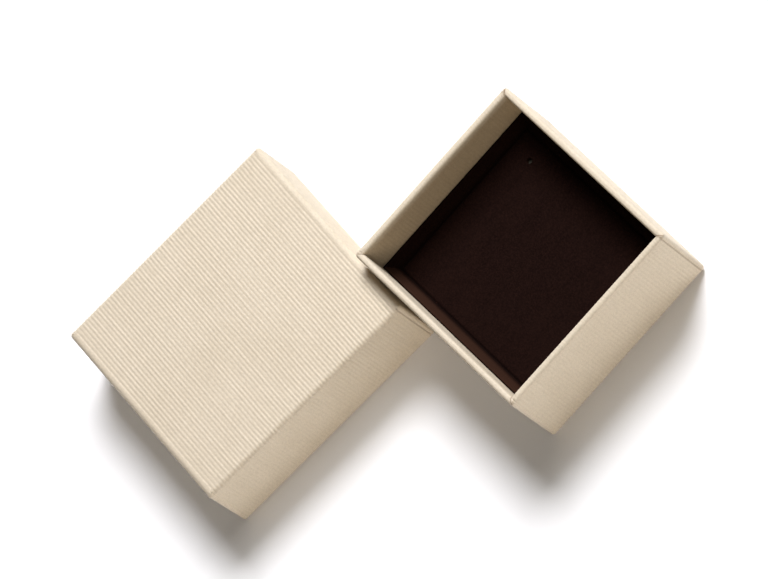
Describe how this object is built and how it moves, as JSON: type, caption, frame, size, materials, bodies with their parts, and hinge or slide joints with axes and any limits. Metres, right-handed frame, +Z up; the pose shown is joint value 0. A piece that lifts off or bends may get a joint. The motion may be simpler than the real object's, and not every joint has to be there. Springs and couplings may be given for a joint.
{
  "type": "jewelry gift box",
  "caption": "Small rectangular two-piece rigid gift box in ivory ribbed paper, base open with a flared dark-brown velour insert, lid standing beside it.",
  "frame": {"origin": "centre of the base's underside, on the surface that the box stands on", "axes": "+X along the base's long side, +Y towards its back wall, away from the lid, +Z up"},
  "size_m": [0.1331, 0.1494, 0.033],
  "materials": {
    "ribbed_ivory_paper": "fine ribbed embossed paper, faint satin sheen",
    "smooth_ivory_paper": "smooth uncoated",
    "kraft_tape": "matte kraft tape",
    "greyboard": "bare recycled greyboard",
    "foam": "open-cell foam, matte",
    "brown_card": "dyed card, matte",
    "brown_velour": "short-pile flocked velour"
  },
  "bodies": {
    "base": {"base_bottom_paper": "ribbed_ivory_paper", "base_floor_board": "greyboard", "base_wall_front": "greyboard", "base_wall_back": "greyboard", "base_wall_left": "greyboard", "base_wall_right": "greyboard", "base_tape_front_left": "kraft_tape", "base_tape_front_right": "kraft_tape", "base_tape_back_left": "kraft_tape", "base_tape_back_right": "kraft_tape", "base_wrap_paper": "ribbed_ivory_paper"},
    "insert": {"insert_foam_block": "foam", "insert_card": "brown_card", "insert_velour": "brown_velour"},
    "lid": {"lid_top_board": "greyboard", "lid_wall_front": "greyboard", "lid_wall_back": "greyboard", "lid_wall_left": "greyboard", "lid_wall_right": "greyboard", "lid_tape_front_left": "kraft_tape", "lid_tape_front_right": "kraft_tape", "lid_tape_back_left": "kraft_tape", "lid_tape_back_right": "kraft_tape", "lid_wrap_paper": "ribbed_ivory_paper", "lid_lining_paper": "smooth_ivory_paper"}
  },
  "joints": [
    {"name": "insert_lift", "type": "slide", "parent": "base", "child": "insert", "axis": [0, 0, 1], "range_m": [0, 0.045]},
    {"name": "lid_lift", "type": "slide", "parent": "base", "child": "lid", "axis": [0, 0, 1], "range_m": [0, 0.06]}
  ]
}
